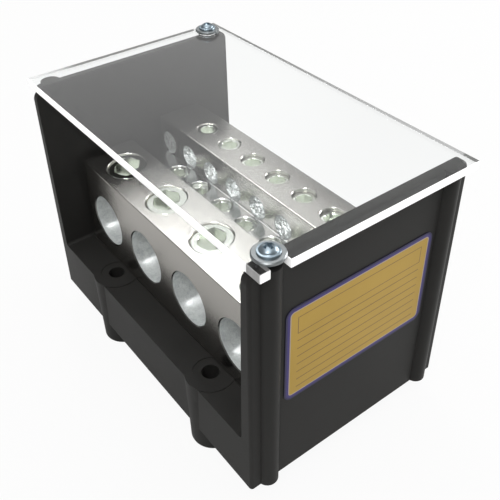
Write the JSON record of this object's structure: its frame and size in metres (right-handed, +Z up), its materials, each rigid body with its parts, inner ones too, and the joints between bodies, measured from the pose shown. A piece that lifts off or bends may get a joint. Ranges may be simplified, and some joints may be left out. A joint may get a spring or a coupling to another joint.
{
  "type": "power distribution block",
  "caption": "Open-ended black base with an aluminium connector, bored for main cables in front and two rows of tap wires behind, under a clear flat cover on two screws.",
  "frame": {"origin": "middle of the mounting plane, on which the four feet stand", "axes": "+X along the row of main bores towards the label, +Y from the main bores to the tap bores, +Z up to the cover"},
  "size_m": [0.1512, 0.0952, 0.1175],
  "materials": {
    "moulding": "black moulded, satin",
    "connector": "plated, smooth, polished by extrusion",
    "set_screw": "plated, turned",
    "cover": "clear polycarbonate sheet",
    "plated_steel": "zinc plated",
    "label": "metallic gold film with a violet border"
  },
  "bodies": {
    "base": {"base_moulding": "moulding", "connector_block": "connector", "label_sheet": "label", "hold_down_screw_left": "plated_steel", "hold_down_screw_right": "plated_steel", "hold_down_washer_left": "plated_steel", "hold_down_washer_right": "plated_steel"},
    "cover": {"clear_cover": "cover"},
    "cover_fastener_front": {"cover_screw_front": "plated_steel", "cover_washer_front": "plated_steel"},
    "cover_fastener_rear": {"cover_screw_rear": "plated_steel", "cover_washer_rear": "plated_steel"},
    "main_screw_1": {"main_set_screw_1": "set_screw"},
    "main_screw_2": {"main_set_screw_2": "set_screw"},
    "main_screw_3": {"main_set_screw_3": "set_screw"},
    "main_screw_4": {"main_set_screw_4": "set_screw"},
    "upper_tap_1": {"upper_tap_screw_1": "set_screw"},
    "upper_tap_2": {"upper_tap_screw_2": "set_screw"},
    "upper_tap_3": {"upper_tap_screw_3": "set_screw"},
    "upper_tap_4": {"upper_tap_screw_4": "set_screw"},
    "upper_tap_5": {"upper_tap_screw_5": "set_screw"},
    "upper_tap_6": {"upper_tap_screw_6": "set_screw"},
    "lower_tap_1": {"lower_tap_screw_1": "set_screw"},
    "lower_tap_2": {"lower_tap_screw_2": "set_screw"},
    "lower_tap_3": {"lower_tap_screw_3": "set_screw"},
    "lower_tap_4": {"lower_tap_screw_4": "set_screw"},
    "lower_tap_5": {"lower_tap_screw_5": "set_screw"},
    "lower_tap_6": {"lower_tap_screw_6": "set_screw"}
  },
  "joints": [
    {"name": "cover_lift", "type": "slide", "parent": "base", "child": "cover", "axis": [0, 0, 1], "range_m": [0, 0.06]},
    {"name": "cover_screw_front_travel", "type": "slide", "parent": "cover", "child": "cover_fastener_front", "axis": [0, 0, 1], "range_m": [0, 0.017]},
    {"name": "cover_screw_rear_travel", "type": "slide", "parent": "cover", "child": "cover_fastener_rear", "axis": [0, 0, 1], "range_m": [0, 0.017]},
    {"name": "main_screw_1_travel", "type": "slide", "parent": "base", "child": "main_screw_1", "axis": [0, 0, -1], "range_m": [0, 0.008]},
    {"name": "main_screw_2_travel", "type": "slide", "parent": "base", "child": "main_screw_2", "axis": [0, 0, -1], "range_m": [0, 0.008]},
    {"name": "main_screw_3_travel", "type": "slide", "parent": "base", "child": "main_screw_3", "axis": [0, 0, -1], "range_m": [0, 0.008]},
    {"name": "main_screw_4_travel", "type": "slide", "parent": "base", "child": "main_screw_4", "axis": [0, 0, -1], "range_m": [0, 0.008]},
    {"name": "upper_tap_screw_1_travel", "type": "slide", "parent": "base", "child": "upper_tap_1", "axis": [0, 0, -1], "range_m": [0, 0.003]},
    {"name": "upper_tap_screw_2_travel", "type": "slide", "parent": "base", "child": "upper_tap_2", "axis": [0, 0, -1], "range_m": [0, 0.003]},
    {"name": "upper_tap_screw_3_travel", "type": "slide", "parent": "base", "child": "upper_tap_3", "axis": [0, 0, -1], "range_m": [0, 0.003]},
    {"name": "upper_tap_screw_4_travel", "type": "slide", "parent": "base", "child": "upper_tap_4", "axis": [0, 0, -1], "range_m": [0, 0.003]},
    {"name": "upper_tap_screw_5_travel", "type": "slide", "parent": "base", "child": "upper_tap_5", "axis": [0, 0, -1], "range_m": [0, 0.003]},
    {"name": "upper_tap_screw_6_travel", "type": "slide", "parent": "base", "child": "upper_tap_6", "axis": [0, 0, -1], "range_m": [0, 0.003]},
    {"name": "lower_tap_screw_1_travel", "type": "slide", "parent": "base", "child": "lower_tap_1", "axis": [0, 0, -1], "range_m": [0, 0.003]},
    {"name": "lower_tap_screw_2_travel", "type": "slide", "parent": "base", "child": "lower_tap_2", "axis": [0, 0, -1], "range_m": [0, 0.003]},
    {"name": "lower_tap_screw_3_travel", "type": "slide", "parent": "base", "child": "lower_tap_3", "axis": [0, 0, -1], "range_m": [0, 0.003]},
    {"name": "lower_tap_screw_4_travel", "type": "slide", "parent": "base", "child": "lower_tap_4", "axis": [0, 0, -1], "range_m": [0, 0.003]},
    {"name": "lower_tap_screw_5_travel", "type": "slide", "parent": "base", "child": "lower_tap_5", "axis": [0, 0, -1], "range_m": [0, 0.003]},
    {"name": "lower_tap_screw_6_travel", "type": "slide", "parent": "base", "child": "lower_tap_6", "axis": [0, 0, -1], "range_m": [0, 0.003]}
  ]
}
